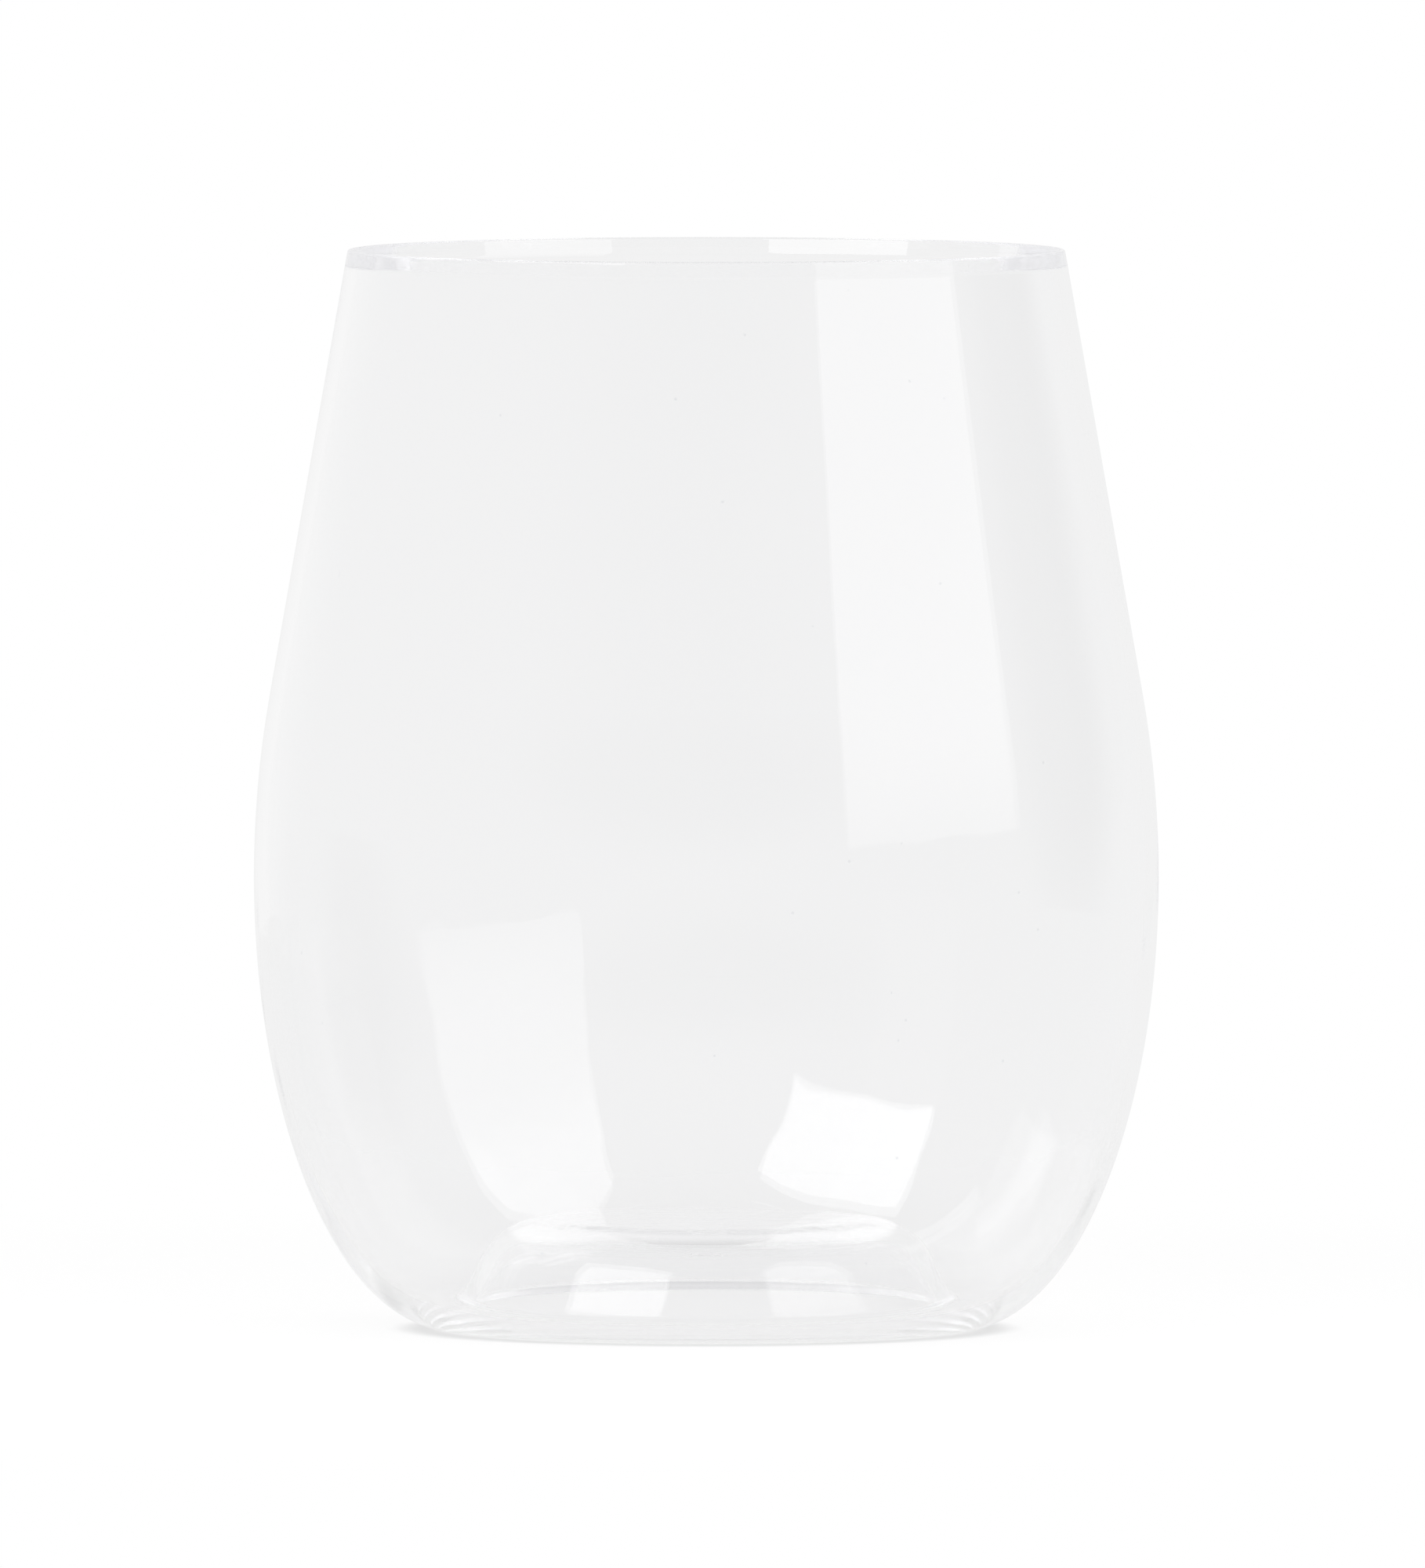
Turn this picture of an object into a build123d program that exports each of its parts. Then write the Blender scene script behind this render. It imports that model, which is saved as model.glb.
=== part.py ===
from build123d import *
import os
from math import acos, atan2, cos, degrees, hypot, radians, sin

# Stemless wine tumbler, moulded in one piece from clear plastic.
# Millimetres, +Z up. The tumbler is round about Z and stands on Z = 0.

# Outside
height = 105.0  # table to the top of the lip
mouth_diameter = 69.8  # across the outside of the lip
belly_diameter = 88.0  # across the widest point
belly_height = 44.0  # widest point above the table
ring_diameter = 50.0  # outer edge of the ring that the tumbler stands on

# Walls
side_wall = 1.2  # lip to belly
base_wall = 1.6  # under the trough, thickening to it from the belly
punt_wall = 1.6  # flank and crown of the punt

# Lip, bevelled on the inside to a thin round edge
lip_radius = 0.25  # round edge
lip_bevel = 27.0  # turn of the bevel from the wall, in degrees
lip_ease = 1.0  # arc between the bevel and the wall

# Punt, the dome in the base that stands up into the bowl
punt_height = 10.6  # crown above the table, on the bowl's side
punt_draft = 24.0  # lean of the flank from upright, in degrees
shoulder_radius = 7.0  # flank to crown, on the bowl's side
trough_radius = 1.2  # round trough between the bowl's wall and the flank
foot_radius = 0.9  # standing ring to the flank, underneath

# Gate, the small round mark that the moulding leaves under the crown
gate_diameter = 3.0
gate_height = 0.4

# The outline is drawn as (distance from the axis, height).
belly_radius = belly_diameter / 2
ring_radius = ring_diameter / 2
bowl_center = (ring_radius, belly_height)
bowl_reach = belly_radius - ring_radius

# Above the belly an arc takes over from the bowl's ellipse with the same curvature,
# and the straight neck runs from that arc to the round edge of the lip, tangent to both.
belly_arc = belly_height**2 / bowl_reach
belly_center = (belly_radius - belly_arc, belly_height)
lip_center = (mouth_diameter / 2 - lip_radius, height - lip_radius)
across = lip_center[0] - belly_center[0]
upward = lip_center[1] - belly_center[1]
tangent_angle = acos((belly_arc - lip_radius) / hypot(across, upward))
lean = atan2(upward, across) - tangent_angle
neck_lean = degrees(lean)

# Inside the lip a straight bevel leaves the round edge, and an arc runs it into the neck's wall.
# The arc's centre is placed from the lip's, outwards across the wall and down along it.
bevel = radians(lip_bevel)
ease_offset = lip_ease + lip_radius - side_wall
ease_drop = (lip_ease - lip_radius - ease_offset * cos(bevel)) / sin(bevel)
ease_center = (
    lip_center[0] + ease_offset * cos(lean) + ease_drop * sin(lean),
    lip_center[1] + ease_offset * sin(lean) - ease_drop * cos(lean),
)

# The punt's flank is a straight cone. Its distance from the origin, measured square to the
# flank, places every arc that runs into it.
draft = radians(punt_draft)
flank_turn = 90 - punt_draft
trough_center = (ring_radius, base_wall + trough_radius)
flank_distance = trough_center[0] * cos(draft) + trough_center[1] * sin(draft) - trough_radius


def beside_flank(distance, level):
    """Centre at this height and at this distance from the origin, square to the flank."""
    return ((distance - level * sin(draft)) / cos(draft), level)


shoulder_center = beside_flank(flank_distance - shoulder_radius, punt_height - shoulder_radius)
foot_center = beside_flank(flank_distance - punt_wall + foot_radius, foot_radius)
crown_underside = punt_height - punt_wall

with BuildPart() as tumbler:
    with BuildSketch(Plane.XZ) as section:
        with BuildLine() as outline:
            # Outside, from the standing ring up to the lip
            bowl = EllipticalCenterArc(bowl_center, bowl_reach, belly_height, 270, arc_size=90)
            belly = CenterArc(belly_center, belly_arc, 0, neck_lean)
            lip = CenterArc(lip_center, lip_radius, neck_lean, 180 - lip_bevel)
            Line(belly @ 1, lip @ 0)

            # Inside, from the lip down to the trough
            ease = CenterArc(ease_center, lip_ease, neck_lean + 180 - lip_bevel, lip_bevel)
            Line(lip @ 1, ease @ 0)
            inner_belly = CenterArc(belly_center, belly_arc - side_wall, neck_lean, -neck_lean)
            Line(ease @ 1, inner_belly @ 0)
            inner_bowl = EllipticalCenterArc(
                bowl_center, bowl_reach - side_wall, belly_height - base_wall, 0, arc_size=-90
            )

            # Punt, on the bowl's side
            trough = CenterArc(trough_center, trough_radius, 270, -flank_turn)
            shoulder = CenterArc(shoulder_center, shoulder_radius, punt_draft, flank_turn)
            Line(trough @ 1, shoulder @ 0)
            crown = Line(shoulder @ 1, (0, punt_height))

            # Punt, underneath, and the standing ring
            hollow = CenterArc(shoulder_center, shoulder_radius - punt_wall, 90, -flank_turn)
            foot = CenterArc(foot_center, foot_radius, 180 + punt_draft, flank_turn)
            Polyline(crown @ 1, (0, crown_underside), hollow @ 0)
            Line(hollow @ 1, foot @ 0)
            Line(foot @ 1, bowl @ 0)
        make_face()
    revolve(axis=Axis.Z)

    with BuildSketch(Plane.XY.offset(crown_underside)) as gate:
        Circle(gate_diameter / 2)
    extrude(amount=-gate_height)

tumbler.part.label = "tumbler"
os.makedirs("parts", exist_ok=True)
export_step(tumbler.part, "parts/tumbler.step")
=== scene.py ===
from math import acos, atan2, cos, degrees, hypot, pi, radians, sin

import bmesh
import bpy
from mathutils import Matrix, Vector


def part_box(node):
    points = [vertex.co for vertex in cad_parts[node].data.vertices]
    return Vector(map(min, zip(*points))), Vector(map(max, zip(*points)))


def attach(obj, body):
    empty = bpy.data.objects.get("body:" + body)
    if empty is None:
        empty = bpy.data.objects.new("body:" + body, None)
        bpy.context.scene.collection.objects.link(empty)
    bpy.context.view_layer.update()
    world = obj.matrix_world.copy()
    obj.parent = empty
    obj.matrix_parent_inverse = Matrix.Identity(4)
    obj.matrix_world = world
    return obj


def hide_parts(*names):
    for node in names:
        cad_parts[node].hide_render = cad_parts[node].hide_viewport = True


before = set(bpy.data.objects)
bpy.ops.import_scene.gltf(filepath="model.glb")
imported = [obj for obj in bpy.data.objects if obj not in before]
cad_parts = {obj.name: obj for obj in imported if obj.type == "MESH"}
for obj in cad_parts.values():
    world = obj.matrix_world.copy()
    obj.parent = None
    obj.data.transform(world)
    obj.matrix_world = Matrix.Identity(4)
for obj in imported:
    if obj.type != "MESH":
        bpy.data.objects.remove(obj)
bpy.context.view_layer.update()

scene = bpy.context.scene
scene.view_settings.view_transform = "Standard"


# Nodes

def newNode(tree, kind, **settings):
    node = tree.nodes.new(kind)
    for name, value in settings.items():
        setattr(node, name, value)
    return node


def feed(tree, source, target):
    # a number or a colour goes on the socket itself, a socket is linked to it
    if isinstance(source, bpy.types.NodeSocket):
        tree.links.new(source, target)
    else:
        target.default_value = source


def mathNode(tree, operation, first, second=0.0, clamp=False):
    node = newNode(tree, "ShaderNodeMath", operation=operation, use_clamp=clamp)
    feed(tree, first, node.inputs[0])
    feed(tree, second, node.inputs[1])
    return node.outputs[0]


def rangeNode(tree, value, fromLow, fromHigh, toLow=0.0, toHigh=1.0, smooth=True):
    node = newNode(tree, "ShaderNodeMapRange")
    node.interpolation_type = "SMOOTHSTEP" if smooth else "LINEAR"
    for socket, source in zip(node.inputs, (value, fromLow, fromHigh, toLow, toHigh)):
        feed(tree, source, socket)
    return node.outputs[0]


def placedCoords(tree, coords, stretch, turn=(0, 0, 0)):
    # an uneven scale draws a pattern out along an axis, and the turn is in degrees
    mapping = newNode(tree, "ShaderNodeMapping")
    mapping.inputs["Scale"].default_value = stretch
    mapping.inputs["Rotation"].default_value = [radians(v) for v in turn]
    tree.links.new(coords, mapping.inputs["Vector"])
    return mapping.outputs[0]


def softNoise(tree, coords, scale, detail):
    noise = newNode(tree, "ShaderNodeTexNoise")
    noise.inputs["Scale"].default_value = scale
    noise.inputs["Detail"].default_value = detail
    tree.links.new(coords, noise.inputs["Vector"])
    return noise.outputs["Fac"]


# Tumbler, one clear moulding turned about Z. Sizes in metres, as the solid has them.

low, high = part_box("tumbler")

tumblerSize = {
    "height": high.z,
    "mouthDiameter": 0.0698,
    "bellyDiameter": high.x - low.x,
    "bellyHeight": 0.044,
    "ringDiameter": 0.050,
    "sideWall": 0.0012,
    "baseWall": 0.0016,
    "puntWall": 0.0016,
    "lipRadius": 0.00025,
    "lipBevel": 27.0,  # inside of the lip, degrees from the wall
    "lipEase": 0.001,  # bevel to wall
    "puntHeight": 0.0106,
    "puntDraft": 24.0,  # degrees from upright
    "shoulderRadius": 0.007,
    "troughRadius": 0.0012,
    "footRadius": 0.0009,
    "gateRadius": 0.0015,
    "gateHeight": 0.0004,
    "gateEdge": 0.00015,
    "turnSteps": 384,
    "outlineWeld": 1e-7,
    "turnWeld": 1e-6,
}

# steps of the outline's arcs and straight runs
outlineSteps = {
    "bowl": 40,
    "belly": 8,
    "neck": 6,
    "lip": 12,
    "bevel": 2,
    "ease": 8,
    "trough": 8,
    "flank": 3,
    "shoulder": 12,
    "crown": 6,
    "gateFace": 2,
    "gateEdge": 5,
    "foot": 8,
    "ring": 2,
}


def straightOn(bm, start, step, steps):
    made = bmesh.ops.spin(bm, geom=[start], axis=(0, -1, 0), dvec=step, angle=0, steps=steps)
    return next(v for v in made["geom_last"] if isinstance(v, bmesh.types.BMVert))


def runTo(bm, start, place, steps=1, hold=0.0):
    # a straight run, with a short step at each end where hold keeps the shading straight
    way = Vector((place[0], 0, place[1])) - start.co
    short = way.normalized() * hold
    if hold:
        start = straightOn(bm, start, short, 1)
    end = straightOn(bm, start, (way - 2 * short) / steps, steps)
    return straightOn(bm, end, short, 1) if hold else end


def swing(bm, start, center, turn, steps, tall=1.0):
    # an arc about a centre, made taller into an ellipse where tall isn't 1
    old = set(bm.verts) - {start}
    pivot = Vector((center[0], 0, center[1]))
    made = bmesh.ops.spin(
        bm, geom=[start], cent=pivot, axis=(0, -1, 0), angle=radians(turn), steps=steps
    )
    if tall != 1.0:
        arc = [v for v in bm.verts if v not in old]
        bmesh.ops.scale(bm, verts=arc, vec=(1, 1, tall), space=Matrix.Translation(-pivot))
    return next(v for v in made["geom_last"] if isinstance(v, bmesh.types.BMVert))


def drawOutline(bm, size, steps):
    belly, ring = size["bellyDiameter"] / 2, size["ringDiameter"] / 2
    wall, base, bellyHeight = size["sideWall"], size["baseWall"], size["bellyHeight"]

    # bowl, belly, neck and lip
    bowlCenter, reach = (ring, bellyHeight), belly - ring
    bellyArc = bellyHeight**2 / reach
    bellyCenter = (belly - bellyArc, bellyHeight)
    lipRadius, lipEase = size["lipRadius"], size["lipEase"]
    lipCenter = (size["mouthDiameter"] / 2 - lipRadius, size["height"] - lipRadius)
    across, upward = lipCenter[0] - bellyCenter[0], lipCenter[1] - bellyCenter[1]
    lean = atan2(upward, across) - acos((bellyArc - lipRadius) / hypot(across, upward))
    leanTurn = degrees(lean)

    def onNeck(center, distance):
        # the point at this distance from a centre, square to the neck's wall
        return (center[0] + distance * cos(lean), center[1] + distance * sin(lean))

    # inside the lip a bevel thins the wall, eased into it by an arc
    bevelTurn, bevel = size["lipBevel"], radians(size["lipBevel"])
    easeOffset = lipEase + lipRadius - wall
    easeDrop = (lipEase - lipRadius - easeOffset * cos(bevel)) / sin(bevel)
    besideLip = onNeck(lipCenter, easeOffset)
    easeCenter = (besideLip[0] + easeDrop * sin(lean), besideLip[1] - easeDrop * cos(lean))
    easeStart = lean + pi - bevel
    bevelEnd = (easeCenter[0] + lipEase * cos(easeStart), easeCenter[1] + lipEase * sin(easeStart))

    # punt flank, by its distance from the origin measured square to it
    draft = radians(size["puntDraft"])
    flankTurn = 90 - size["puntDraft"]
    troughCenter = (ring, base + size["troughRadius"])
    flank = troughCenter[0] * cos(draft) + troughCenter[1] * sin(draft) - size["troughRadius"]

    def besideFlank(distance, level):
        return ((distance - level * sin(draft)) / cos(draft), level)

    def onFlank(center, distance):
        return (center[0] + distance * cos(draft), center[1] + distance * sin(draft))

    shoulder, foot = size["shoulderRadius"], size["footRadius"]
    shoulderCenter = besideFlank(flank - shoulder, size["puntHeight"] - shoulder)
    footCenter = besideFlank(flank - size["puntWall"] + foot, foot)
    underCrown = size["puntHeight"] - size["puntWall"]

    # short steps at the ends of the straight runs
    hold, flankHold, lipHold = wall / 4, wall / 8, lipRadius / 4

    # outside, standing ring to lip
    ringEdge = bm.verts.new((ring, 0, bellyHeight - reach))
    end = swing(bm, ringEdge, bowlCenter, 90, steps["bowl"], tall=bellyHeight / reach)
    end = swing(bm, end, bellyCenter, leanTurn, steps["belly"])
    end = runTo(bm, end, onNeck(lipCenter, lipRadius), steps["neck"], hold)
    end = swing(bm, end, lipCenter, 180 - bevelTurn, steps["lip"])

    # inside, lip to trough
    end = runTo(bm, end, bevelEnd, steps["bevel"], lipHold)
    end = swing(bm, end, easeCenter, bevelTurn, steps["ease"])
    end = runTo(bm, end, onNeck(bellyCenter, bellyArc - wall), steps["neck"], hold)
    end = swing(bm, end, bellyCenter, -leanTurn, steps["belly"])
    innerTall = (bellyHeight - base) / (reach - wall)
    end = swing(bm, end, bowlCenter, -90, steps["bowl"], tall=innerTall)

    # punt, bowl side
    end = swing(bm, end, troughCenter, -flankTurn, steps["trough"])
    end = runTo(bm, end, onFlank(shoulderCenter, shoulder), steps["flank"], flankHold)
    end = swing(bm, end, shoulderCenter, flankTurn, steps["shoulder"])
    runTo(bm, end, (0, size["puntHeight"]), steps["crown"], hold)

    # punt underneath, from the gate mark out to the standing ring
    gateFace, gateEdge = underCrown - size["gateHeight"], size["gateEdge"]
    end = bm.verts.new((0, 0, gateFace))
    edgeCenter = (size["gateRadius"] - gateEdge, gateFace + gateEdge)
    end = runTo(bm, end, (edgeCenter[0], gateFace), steps["gateFace"])
    end = swing(bm, end, edgeCenter, 90, steps["gateEdge"])
    end = runTo(bm, end, (size["gateRadius"], underCrown))
    end = runTo(bm, end, (shoulderCenter[0], underCrown), steps["crown"], hold)
    end = swing(bm, end, shoulderCenter, -flankTurn, steps["shoulder"])
    end = runTo(bm, end, onFlank(footCenter, -foot), steps["flank"], flankHold)
    end = swing(bm, end, footCenter, flankTurn, steps["foot"])
    runTo(bm, end, ringEdge.co.xz, steps["ring"])


def makeTumbler(size):
    bm = bmesh.new()
    drawOutline(bm, size, outlineSteps)
    bmesh.ops.remove_doubles(bm, verts=bm.verts, dist=size["outlineWeld"])
    bmesh.ops.spin(
        bm, geom=bm.verts[:] + bm.edges[:], cent=(0, 0, 0), axis=(0, 0, 1), angle=2 * pi,
        steps=size["turnSteps"], use_merge=True,
    )
    bmesh.ops.remove_doubles(bm, verts=bm.verts, dist=size["turnWeld"])
    bmesh.ops.recalc_face_normals(bm, faces=bm.faces)
    for face in bm.faces:
        face.smooth = True
    loose = [e for e in bm.edges if len(e.link_faces) != 2]
    print("tumbler", len(bm.faces), "faces,", len(loose), "open edges, volume", bm.calc_volume() * 1e9)
    mesh = bpy.data.meshes.new("clearTumbler")
    bm.to_mesh(mesh)
    bm.free()
    piece = bpy.data.objects.new("clearTumbler", mesh)
    scene.collection.objects.link(piece)
    return piece


tumbler = makeTumbler(tumblerSize)
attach(tumbler, "root")
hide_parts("tumbler")


# Clear plastic

plasticLook = {
    "tint": (0.9955, 0.9955, 0.9975, 1),
    "ior": 1.55,
    "depthColor": (0.2, 0.22, 0.9, 1),
    "depthDensity": 0.1,
    "polish": 0.012,
    "smudge": 0.05,
    "patchScale": 60.0,  # of the dulled patches
    "patchStretch": (1, 1, 0.6),
    "patchDetail": 3.0,
    "patchRange": (0.5, 0.75),
    "flowHeight": 0.00009,  # of the waves that the moulding leaves
    "flowScale": 120.0,
    "flowStretch": (1, 1, 0.7),
    "flowDetail": 1.0,
    "neckFlow": 0.15,  # share of that height left on the neck
    "flowFrom": 0.030,  # height where the waves start to flatten
    "flowTo": 0.062,
    "baseFlow": 0.2,  # share left at the base
    "baseFrom": 0.004,
    "baseTo": 0.016,
    "speckColor": (0.84, 0.85, 0.87, 1),
    "speckCell": 0.0078,  # room for each speck of dust
    "speckRadius": 0.0002,
    "hairCell": 0.008,
    "hairRadius": 0.00008,
    "hairStretch": (1, 1, 0.07),  # draws a cell out, so that its speck becomes a hair
    "hairTurn": (35, 20, 0),
    "dustCore": 0.6,  # share of a speck's radius that is fully covered
    "shadowBlend": 0.35,
    "shadowFacing": 0.998,
    "shadowEdge": 0.975,
}


def dustMask(tree, coords, cell, radius, core):
    # small spots, one in each cell of a Voronoi pattern, where they meet the surface
    cells = newNode(tree, "ShaderNodeTexVoronoi")
    cells.inputs["Scale"].default_value = 1 / cell
    tree.links.new(coords, cells.inputs["Vector"])
    return rangeNode(tree, cells.outputs["Distance"], core * radius / cell, radius / cell, 1.0, 0.0)


def makePlastic(look):
    material = bpy.data.materials.new("clearPlastic")
    material.use_nodes = True
    tree = material.node_tree
    tree.nodes.clear()
    coords = newNode(tree, "ShaderNodeTexCoord").outputs["Object"]

    plastic = newNode(tree, "ShaderNodeBsdfPrincipled")
    plastic.inputs["Transmission Weight"].default_value = 1.0
    plastic.inputs["IOR"].default_value = look["ior"]

    # dust: specks and a few short hairs
    core = look["dustCore"]
    specks = dustMask(tree, coords, look["speckCell"], look["speckRadius"], core)
    drawn = placedCoords(tree, coords, look["hairStretch"], look["hairTurn"])
    hairs = dustMask(tree, drawn, look["hairCell"], look["hairRadius"], core)
    dusty = newNode(tree, "ShaderNodeMix", data_type="RGBA")
    tree.links.new(mathNode(tree, "MAXIMUM", specks, hairs), dusty.inputs["Factor"])
    dusty.inputs["A"].default_value = look["tint"]
    dusty.inputs["B"].default_value = look["speckColor"]
    tree.links.new(dusty.outputs["Result"], plastic.inputs["Base Color"])

    # handling marks dull the polish a little in soft patches
    patchCoords = placedCoords(tree, coords, look["patchStretch"])
    patches = softNoise(tree, patchCoords, look["patchScale"], look["patchDetail"])
    patchFrom, patchTo = look["patchRange"]
    dulled = rangeNode(tree, patches, patchFrom, patchTo, look["polish"], look["smudge"])
    tree.links.new(dulled, plastic.inputs["Roughness"])

    # the moulding leaves slow waves in the bowl, which flatten out up the neck and at the base
    waveCoords = placedCoords(tree, coords, look["flowStretch"])
    waves = softNoise(tree, waveCoords, look["flowScale"], look["flowDetail"])
    axes = newNode(tree, "ShaderNodeSeparateXYZ")
    tree.links.new(coords, axes.inputs[0])
    calm = rangeNode(tree, axes.outputs["Z"], look["flowFrom"], look["flowTo"], 1.0, look["neckFlow"])
    firm = rangeNode(tree, axes.outputs["Z"], look["baseFrom"], look["baseTo"], look["baseFlow"], 1.0)
    still = mathNode(tree, "MULTIPLY", calm, firm)
    bump = newNode(tree, "ShaderNodeBump")
    bump.inputs["Strength"].default_value = 1.0
    bump.inputs["Distance"].default_value = look["flowHeight"]
    tree.links.new(mathNode(tree, "MULTIPLY", waves, still), bump.inputs["Height"])
    tree.links.new(bump.outputs[0], plastic.inputs["Normal"])

    # lamps pass through, less at the edges, so that the shadow is a light one
    facing = newNode(tree, "ShaderNodeLayerWeight")
    facing.inputs["Blend"].default_value = look["shadowBlend"]
    clear, edge = look["shadowFacing"], look["shadowEdge"]
    pale = rangeNode(tree, facing.outputs["Facing"], 0.0, 1.0, clear, edge, smooth=False)
    shade = newNode(tree, "ShaderNodeBsdfTransparent")
    tree.links.new(pale, shade.inputs["Color"])
    path = newNode(tree, "ShaderNodeLightPath")
    lamp = mathNode(tree, "MAXIMUM", path.outputs["Is Shadow Ray"], path.outputs["Is Diffuse Ray"])
    mix = newNode(tree, "ShaderNodeMixShader")
    tree.links.new(lamp, mix.inputs[0])
    tree.links.new(plastic.outputs[0], mix.inputs[1])
    tree.links.new(shade.outputs[0], mix.inputs[2])

    # long ways through the plastic look faintly blue
    depth = newNode(tree, "ShaderNodeVolumeAbsorption")
    depth.inputs["Color"].default_value = look["depthColor"]
    depth.inputs["Density"].default_value = look["depthDensity"]

    output = newNode(tree, "ShaderNodeOutputMaterial")
    tree.links.new(mix.outputs[0], output.inputs["Surface"])
    tree.links.new(depth.outputs[0], output.inputs["Volume"])
    return material


tumbler.data.materials.append(makePlastic(plasticLook))
print("clear plastic on", tumbler.name)


# Floor, pale near the object and white further out

shownLevel = 0.89  # of the surroundings, where the plastic mirrors or refracts them

floorLook = {
    "radius": 0.6,
    "segments": 96,
    "paint": 0.975,
    "fadeFrom": 0.08,
    "fadeTo": 0.22,
    "paintedShadowRadius": 0.0275,  # of the ring of painted shadow on the floor, at the narrow gap under the base
    "paintedShadowReach": 0.0038,
    # how dark the painted shadow ring is, for camera rays
    "paintedShadowDepth": 0.2,
}


def seenRay(tree):
    # camera, mirrored and refracted rays all show the pale surroundings
    path = newNode(tree, "ShaderNodeLightPath")
    mirrored = mathNode(tree, "ADD", path.outputs["Is Glossy Ray"], path.outputs["Is Transmission Ray"])
    seen = mathNode(tree, "ADD", path.outputs["Is Camera Ray"], mirrored, clamp=True)
    return seen, path.outputs["Is Camera Ray"]


def makeFloor(look):
    bm = bmesh.new()
    bmesh.ops.create_circle(bm, cap_ends=True, radius=look["radius"], segments=look["segments"])
    mesh = bpy.data.meshes.new("floor")
    bm.to_mesh(mesh)
    bm.free()
    floor = bpy.data.objects.new("floor", mesh)
    scene.collection.objects.link(floor)

    material = bpy.data.materials.new("floorWhite")
    material.use_nodes = True
    tree = material.node_tree
    tree.nodes.clear()
    coords = newNode(tree, "ShaderNodeTexCoord").outputs["Object"]
    distance = newNode(tree, "ShaderNodeVectorMath", operation="LENGTH")
    tree.links.new(coords, distance.inputs[0])
    fade = rangeNode(tree, distance.outputs["Value"], look["fadeFrom"], look["fadeTo"])
    seen, direct = seenRay(tree)
    shown = mathNode(tree, "MAXIMUM", direct, shownLevel)

    # painted shadow: a ring of shade painted into the floor's colour round the base, for camera rays
    # only, where the gap under the base gets little light
    gap = mathNode(tree, "SUBTRACT", distance.outputs["Value"], look["paintedShadowRadius"])
    depth = mathNode(tree, "MULTIPLY", direct, look["paintedShadowDepth"])
    shade = rangeNode(tree, mathNode(tree, "ABSOLUTE", gap), 0.0, look["paintedShadowReach"], depth, 0.0)
    tone = mathNode(tree, "MULTIPLY", shown, mathNode(tree, "SUBTRACT", 1.0, shade))
    paint = newNode(tree, "ShaderNodeBsdfDiffuse")
    tree.links.new(mathNode(tree, "MULTIPLY", tone, look["paint"]), paint.inputs["Color"])

    white = newNode(tree, "ShaderNodeEmission")
    tree.links.new(shown, white.inputs["Strength"])
    mix = newNode(tree, "ShaderNodeMixShader")
    tree.links.new(mathNode(tree, "MULTIPLY", fade, seen), mix.inputs[0])
    tree.links.new(paint.outputs[0], mix.inputs[1])
    tree.links.new(white.outputs[0], mix.inputs[2])
    output = newNode(tree, "ShaderNodeOutputMaterial")
    tree.links.new(mix.outputs[0], output.inputs["Surface"])
    floor.data.materials.append(material)
    return floor


makeFloor(floorLook)
print("floor laid")


# Surroundings: white all round, darker overhead so that the lip and the punt get their lines

worldLook = {
    "level": 0.875,  # light on the floor
    "overhead": 0.72,  # of what the plastic shows
    "shadeFrom": 0.45,  # sine of the height where the darkening starts
    "shadeTo": 0.98,
}

# darker and paler stretches of the room, by bearing and height, with half sizes in degrees
roomFlags = {
    "cameraSide": {"bearing": -4.0, "height": 11.0, "wide": 42.0, "tall": 8.0, "depth": 0.2},
    "rightSide": {"bearing": 109.0, "height": 7.0, "wide": 19.0, "tall": 12.0, "depth": 0.25},
    "leftBack": {"bearing": -152.0, "height": 20.0, "wide": 24.0, "tall": 40.0, "depth": -0.05},
}
flagEdge = (0.4, 1.4)  # where a flag starts to fade out and where it is gone


def flagShade(tree, bearing, rise, flag):
    across = mathNode(tree, "SUBTRACT", bearing, radians(flag["bearing"]))
    upward = mathNode(tree, "SUBTRACT", rise, radians(flag["height"]))
    place = newNode(tree, "ShaderNodeCombineXYZ")
    tree.links.new(mathNode(tree, "DIVIDE", across, radians(flag["wide"])), place.inputs["X"])
    tree.links.new(mathNode(tree, "DIVIDE", upward, radians(flag["tall"])), place.inputs["Y"])
    length = newNode(tree, "ShaderNodeVectorMath", operation="LENGTH")
    tree.links.new(place.outputs[0], length.inputs[0])
    return rangeNode(tree, length.outputs["Value"], flagEdge[0], flagEdge[1], 1 - flag["depth"], 1.0)


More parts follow.
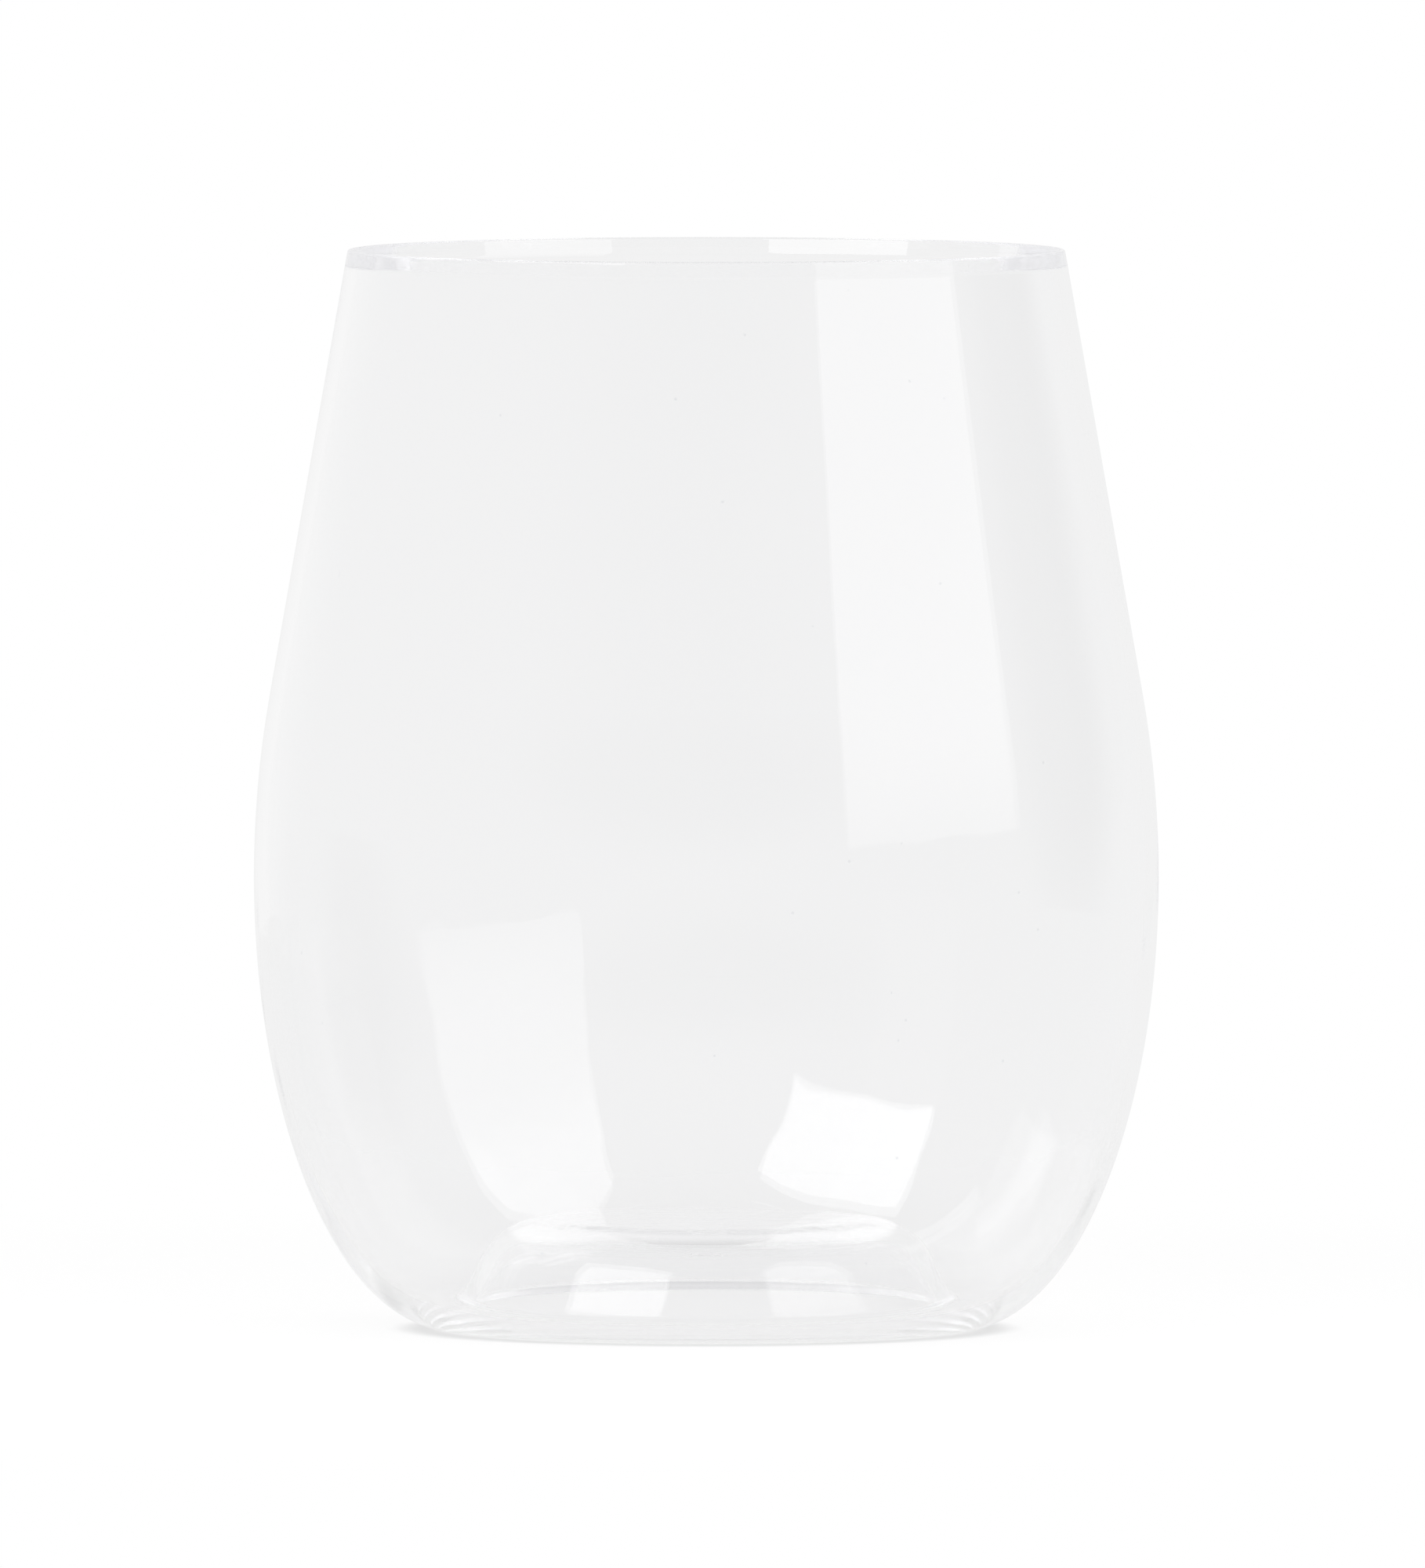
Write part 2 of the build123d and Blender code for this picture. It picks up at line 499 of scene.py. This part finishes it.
def makeWorld(look):
    world = bpy.data.worlds.new("studio")
    world.use_nodes = True
    tree = world.node_tree
    tree.nodes.clear()
    direction = newNode(tree, "ShaderNodeTexCoord").outputs["Generated"]
    axes = newNode(tree, "ShaderNodeSeparateXYZ")
    tree.links.new(direction, axes.inputs[0])
    top = shownLevel * look["overhead"]
    shown = rangeNode(tree, axes.outputs["Z"], look["shadeFrom"], look["shadeTo"], shownLevel, top)
    toCamera = mathNode(tree, "MULTIPLY", axes.outputs["Y"], -1.0)
    bearing = mathNode(tree, "ARCTAN2", axes.outputs["X"], toCamera)
    rise = mathNode(tree, "ARCSINE", axes.outputs["Z"])
    for flag in roomFlags.values():
        shown = mathNode(tree, "MULTIPLY", shown, flagShade(tree, bearing, rise, flag))
    seenRays, direct = seenRay(tree)
    shown = mathNode(tree, "MAXIMUM", shown, direct)
    light = newNode(tree, "ShaderNodeBackground")
    light.inputs["Strength"].default_value = look["level"]
    seen = newNode(tree, "ShaderNodeBackground")
    tree.links.new(shown, seen.inputs["Strength"])
    mix = newNode(tree, "ShaderNodeMixShader")
    tree.links.new(seenRays, mix.inputs[0])
    tree.links.new(light.outputs[0], mix.inputs[1])
    tree.links.new(seen.outputs[0], mix.inputs[2])
    output = newNode(tree, "ShaderNodeOutputWorld")
    tree.links.new(mix.outputs[0], output.inputs["Surface"])
    for background in (light, seen):
        background.inputs["Color"].default_value = (1, 1, 1, 1)
    scene.world = world


makeWorld(worldLook)


# Softboxes. Bearings in degrees to the right of the camera, distances from the axis,
# lifts of the middle above the table, and tips of the face towards the table.

softboxes = {
    "tallBox": {
        "bearing": 60.0, "distance": 0.55, "lift": 0.454, "tip": 0.0, "wide": 0.513, "tall": 0.76,
        "radiance": 0.46, "fade": 0.15, "core": 1.7, "corner": 0.2,
    },
    "wideBox": {
        "bearing": -50.5, "distance": 0.741, "lift": 0.594, "tip": 38.7, "wide": 0.75, "tall": 0.39,
        "radiance": 1.2, "fade": 0.04, "core": 1.0, "corner": 0.0,
    },
    "backStrip": {
        "bearing": -124.0, "distance": 0.816, "lift": 0.38, "tip": 25.0, "wide": 0.16, "tall": 0.3,
        "radiance": 0.3, "fade": 0.3, "core": 1.0, "corner": 0.0,
    },
    "sideStrip": {
        "bearing": -107.0, "distance": 0.69, "lift": 0.58, "tip": 40.0, "wide": 0.07, "tall": 0.3,
        "radiance": 0.6, "fade": 0.3, "core": 1.0, "corner": 0.0,
    },
}
softboxCore = (0.2, 0.5)  # shares of the height between which a box brightens to its core
cornerSoft = 0.01
energyPerRadiance = 4.0  # for each square metre of a softbox
bounceLimit = 1024  # light guided round the lip bounces many times


def makeSoftbox(name, box):
    light = bpy.data.lights.new(name, "AREA")
    light.shape = "RECTANGLE"
    light.size, light.size_y = box["wide"], box["tall"]
    light.energy = energyPerRadiance * box["radiance"] * box["wide"] * box["tall"]
    light.use_nodes = True
    tree = light.node_tree
    tree.nodes.clear()
    axes = newNode(tree, "ShaderNodeSeparateXYZ")
    tree.links.new(newNode(tree, "ShaderNodeNewGeometry").outputs["Parametric"], axes.inputs[0])
    rise = rangeNode(tree, axes.outputs["Y"], -box["fade"], box["fade"])
    core = rangeNode(tree, axes.outputs["Y"], softboxCore[0], softboxCore[1], 1.0, box["core"])

    # the two top corners are cut off, as on an eight-sided box
    aside = mathNode(tree, "ABSOLUTE", mathNode(tree, "SUBTRACT", axes.outputs["X"], 0.5))
    along = mathNode(tree, "MULTIPLY", aside, box["wide"])
    upward = mathNode(tree, "MULTIPLY", axes.outputs["Y"], box["tall"])
    cut = box["wide"] / 2 + box["tall"] - box["corner"]
    diagonal = mathNode(tree, "ADD", along, upward)
    inside = rangeNode(tree, diagonal, cut - cornerSoft, cut + cornerSoft, 1.0, 0.0)

    glow = newNode(tree, "ShaderNodeEmission")
    shape = mathNode(tree, "MULTIPLY", rise, inside)
    tree.links.new(mathNode(tree, "MULTIPLY", shape, core), glow.inputs["Strength"])
    output = newNode(tree, "ShaderNodeOutputLight")
    tree.links.new(glow.outputs[0], output.inputs["Surface"])
    lamp = bpy.data.objects.new(name, light)
    bearing, tip = radians(box["bearing"]), radians(box["tip"])
    across, toCamera = sin(bearing), -cos(bearing)
    lamp.location = (across * box["distance"], toCamera * box["distance"], box["lift"])
    back = Vector((across * cos(tip), toCamera * cos(tip), sin(tip)))
    lamp.rotation_euler = back.to_track_quat("Z", "Y").to_euler()
    lamp.visible_camera = False
    scene.collection.objects.link(lamp)


for name, box in softboxes.items():
    makeSoftbox(name, box)
scene.cycles.caustics_reflective = False
scene.cycles.caustics_refractive = False
scene.cycles.max_bounces = bounceLimit
scene.cycles.glossy_bounces = bounceLimit
scene.cycles.transmission_bounces = bounceLimit
print("world and", len(softboxes), "softboxes lit")


# Camera, as the photograph was framed: 2000 pixels cover the frame's height

cameraLook = {
    "distance": 4.2,
    "elevation": 2.7,
    "target": Vector((0.0006, 0, 0.0530)),
    "frameHeight": 0.15245,
    "clipEnd": 16.8,
}


def makeCamera(look):
    camera = bpy.data.objects.new("camera", bpy.data.cameras.new("camera"))
    scene.collection.objects.link(camera)
    camera.data.lens = camera.data.sensor_width * look["distance"] / look["frameHeight"]
    rise = radians(look["elevation"])
    way = Vector((0, -cos(rise), sin(rise)))
    camera.location = look["target"] + way * look["distance"]
    camera.rotation_euler = way.to_track_quat("Z", "Y").to_euler()
    camera.data.clip_end = look["clipEnd"]
    scene.camera = camera


makeCamera(cameraLook)
print("camera set")
